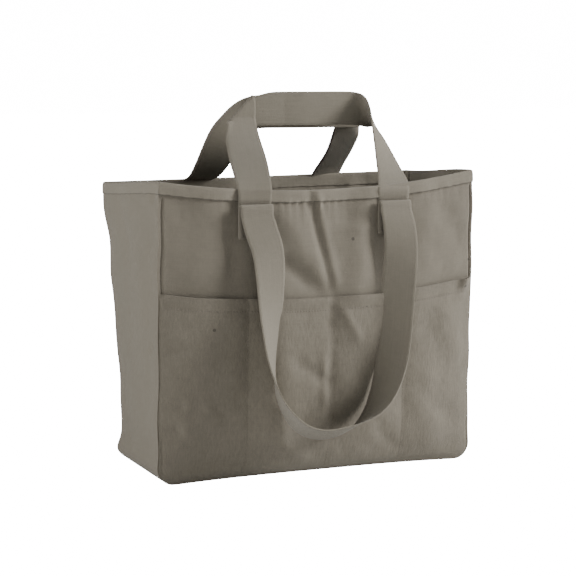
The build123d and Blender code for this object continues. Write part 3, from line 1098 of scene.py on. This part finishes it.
class BAG_OT_stitching(bpy.types.Operator):
    """All the rows of stitching"""

    bl_idname = "bag.stitching"
    bl_label = "Stitching"

    def execute(self, context):
        sizes = context.scene.bag_sizes
        pitch = sizes.stitch_pitch / MM
        inset = 3.0
        front = lambda x, z: panel_point(x, z, -1)
        back = lambda x, z: panel_point(x, z, 1)

        def finish_rows(name, rows, body, **size):
            piece = stitch_rows(f"{name}_thread", rows, **size)
            return finish_piece(piece, thread_material(), body, [name])

        rows = []
        for divider in DIVIDERS:
            rows += surface_row(pocket_point, lambda t: (divider, t), 5, POCKET_MOUTH - 2, pitch, -1)
        finish_rows("pocket_divider_stitching", rows, "bag")

        rows = []
        edges = (-HALF_WIDTH + 5, *DIVIDERS, HALF_WIDTH - 5)
        for left, right in zip(edges, edges[1:]):
            hem = lambda t: (t, mouth_height(t) - HEM_DROP)
            rows += surface_row(pocket_point, hem, left + 2, right - 2, pitch, -1)
        finish_rows("pocket_hem_stitching", rows, "bag")

        rows = []
        for side in (-1, 1):
            seam = lambda t: (side * (HALF_WIDTH - 2.2), t)
            rows += surface_row(front, seam, POCKET_MOUTH + 3, BODY_HEIGHT - 15, pitch, -1)
        finish_rows("front_seam_stitching", rows, "bag")

        def back_edge(t):
            x, z = edge_run(t)
            x, z = round_corner(x, z)
            return x * (1 - 2.6 / HALF_WIDTH), z + 2.6 * ease((24 - z) / 24)
        top_share = 16 / STRIP_LENGTH
        rows = row_on(
            lambda t: Vector(back(*back_edge(t))) + Vector((0, 0.2, 0)),
            top_share, 1 - top_share, pitch, lambda t: Vector((0, 1, 0)),
        )
        finish_rows("back_seam_stitching", rows, "bag")

        rows = []
        # shares of the way round the rim, with gaps at the corners and under the handles
        stretches = ((0.001, 0.0745), (0.1135, 0.2365), (0.2755, 0.349), (0.352, 0.498),
                     (0.501, 0.5745), (0.6135, 0.7365), (0.7755, 0.849), (0.852, 0.999))
        for start, end in stretches:
            def place(t):
                wall, out = rim_station(t)
                return wall(BODY_HEIGHT - 10) + out * 1.35
            rows += row_on(place, start, end, pitch, lambda t: rim_station(t)[1])
        finish_rows("rim_stitching", rows, "bag")

        through_ribbon = sizes.ribbon / MM + 0.5
        edge = sizes.ribbon_width / MM / 2 - inset
        for side, face in (("front", -1), ("back", 1)):
            line, turn = handle_side(face)
            rows = self.ribbon_rows(line.place, turn, 60.0, line.length - 60.0, edge, pitch)
            piece = finish_rows(f"{side}_handle_stitching", rows, None, height=through_ribbon)
            blend_at_hinge(piece, side)
            line = StrapLine()
            turn = turn_for(face)
            rows = self.ribbon_rows(line.place, turn, 46.0, line.length - 46.0, edge, pitch)
            finish_rows(f"{side}_strap_stitching", rows, f"{side}_strap", height=through_ribbon)

            rows = []
            low, high = STRAP_END_HEIGHTS[0] + inset, 314 - inset / 2
            for s in (-1, 1):
                left, right = s * TAB_X - edge, s * TAB_X + edge
                box = [(left, low), (right, low), (right, high), (left, high), (left, low), (right, high)]
                for (x0, z0), (x1, z1) in [*zip(box, box[1:]), ((left, high), (right, low))]:
                    def place(t):
                        z = z0 + (z1 - z0) * t
                        y = max(wall_y(z) - STRAP_STAND - 0.85, -99.6)
                        return turn(Vector((x0 + (x1 - x0) * t, y, z)))
                    rows += row_on(place, 0, 1, pitch, lambda t: Vector((0, face, 0)))
            finish_rows(f"{side}_anchor_stitching", rows, "bag")
        return {"FINISHED"}

    @staticmethod
    def ribbon_rows(place, turn, start, end, edge, pitch):
        """Two rows of stitches through a ribbon, one along each edge."""
        rows = []
        for across in (-edge, edge):
            def normal(t):
                here = place(t, across)
                return turn((place(t + 1, across) - here).cross(place(t, across + 1) - here).normalized())
            rows += row_on(lambda t: turn(place(t, across)), start, end, pitch, normal)
        return rows


# ---- stage ----

def soft_light(name, place, aim, size, power):
    """A square soft light at place, turned towards aim."""
    light = bpy.data.lights.new(name, "AREA")
    light.shape = "SQUARE"
    light.size = size
    light.energy = power
    lamp = bpy.data.objects.new(name, light)
    bpy.context.collection.objects.link(lamp)
    lamp.location = place
    lamp.rotation_euler = (Vector(aim) - Vector(place)).to_track_quat("-Z", "Y").to_euler()
    return lamp


LIGHT_AIM = (0, 0, 0.2)
KEY_PLACE = (2.7, -1.27, 1.6)
KEY_SIZE = 1.1
FILL_PLACE = (-3.0, 0.0, 1.0)
FILL_SIZE = 1.8
FLOOR_SIZE = 30
CAMERA_PLACE = (-0.9205, -2.0832, 0.4801)
CAMERA_AIM = (-0.0045, 0, 0.21)
CAMERA_LENS = 118.75
BACKDROP_GLOW = 20.0           # what the camera sees behind and under the bag is near white
FLOOR_BOUNCE = (0.78, 0.78, 0.78, 1)


class BAG_OT_stage(bpy.types.Operator):
    """Pale floor, soft lights and the camera"""

    bl_idname = "bag.stage"
    bl_label = "Stage"

    def execute(self, context):
        studio = context.scene.bag_studio
        deselect_all()
        bpy.ops.mesh.primitive_plane_add(size=FLOOR_SIZE)
        floor = context.object
        floor.name = "studio_floor"
        paint = Paint("pale_floor")
        paint.surface.inputs["Base Color"].default_value = (0.93, 0.93, 0.93, 1)
        paint.surface.inputs["Roughness"].default_value = 0.9
        paint.surface.inputs["Emission Color"].default_value = (1, 1, 1, 1)
        paint.surface.inputs["Emission Strength"].default_value = BACKDROP_GLOW
        bounce = paint.node("ShaderNodeBsdfDiffuse", {}, {"Color": FLOOR_BOUNCE})
        seen = paint.node("ShaderNodeLightPath")
        choice = paint.node("ShaderNodeMixShader", {}, {0: seen, 1: bounce})
        paint.tree.links.new(paint.surface.outputs[0], choice.socket.node.inputs[2])
        paint.tree.links.new(choice.socket, paint.tree.nodes["Material Output"].inputs["Surface"])
        floor.data.materials.append(paint.material)

        world = context.scene.world or bpy.data.worlds.new("Surround")
        context.scene.world = world
        world.use_nodes = True
        nodes = world.node_tree.nodes
        links = world.node_tree.links
        surround = nodes["Background"]
        surround.inputs["Color"].default_value = (1, 1, 1, 1)
        surround.inputs["Strength"].default_value = studio.surround
        backdrop = nodes.new("ShaderNodeBackground")
        backdrop.inputs["Strength"].default_value = BACKDROP_GLOW
        seen = nodes.new("ShaderNodeLightPath")
        choice = nodes.new("ShaderNodeMixShader")
        links.new(seen.outputs["Is Camera Ray"], choice.inputs[0])
        links.new(surround.outputs[0], choice.inputs[1])
        links.new(backdrop.outputs[0], choice.inputs[2])
        links.new(choice.outputs[0], nodes["World Output"].inputs["Surface"])

        soft_light("key_light", KEY_PLACE, LIGHT_AIM, KEY_SIZE, studio.key)
        soft_light("fill_light", FILL_PLACE, LIGHT_AIM, FILL_SIZE, studio.fill)

        camera = bpy.data.objects.new("camera", bpy.data.cameras.new("camera"))
        context.collection.objects.link(camera)
        camera.data.lens = CAMERA_LENS
        camera.data.sensor_width = 36
        camera.location = CAMERA_PLACE
        camera.rotation_euler = (Vector(CAMERA_AIM) - camera.location).to_track_quat("-Z", "Y").to_euler()
        context.scene.camera = camera
        return {"FINISHED"}


class BAG_PT_sidebar(bpy.types.Panel):
    """Sidebar tab that lists the bag's builders and settings"""

    bl_label = "Garden Tool Bag"
    bl_idname = "BAG_PT_sidebar"
    bl_space_type = "VIEW_3D"
    bl_region_type = "UI"
    bl_category = "Tool Bag"

    def draw(self, context):
        for operator in OPERATORS:
            self.layout.operator(operator.bl_idname)
        for group in (context.scene.bag_sizes, context.scene.bag_looks, context.scene.bag_studio):
            for name in group.__annotations__:
                self.layout.prop(group, name)


OPERATORS = (
    BAG_OT_panels, BAG_OT_pockets, BAG_OT_rim, BAG_OT_handles, BAG_OT_straps, BAG_OT_stitching, BAG_OT_stage,
)
CLASSES = (BagSizes, BagLooks, BagStudio, *OPERATORS, BAG_PT_sidebar)


def register():
    for cls in CLASSES:
        bpy.utils.register_class(cls)
    bpy.types.Scene.bag_sizes = PointerProperty(type=BagSizes)
    bpy.types.Scene.bag_looks = PointerProperty(type=BagLooks)
    bpy.types.Scene.bag_studio = PointerProperty(type=BagStudio)


def unregister():
    del bpy.types.Scene.bag_studio
    del bpy.types.Scene.bag_looks
    del bpy.types.Scene.bag_sizes
    for cls in reversed(CLASSES):
        bpy.utils.unregister_class(cls)


def main():
    register()
    bpy.ops.bag.panels()
    bpy.ops.bag.pockets()
    bpy.ops.bag.rim()
    bpy.ops.bag.handles()
    bpy.ops.bag.straps()
    bpy.ops.bag.stitching()
    bpy.ops.bag.stage()


if __name__ == "__main__":
    main()
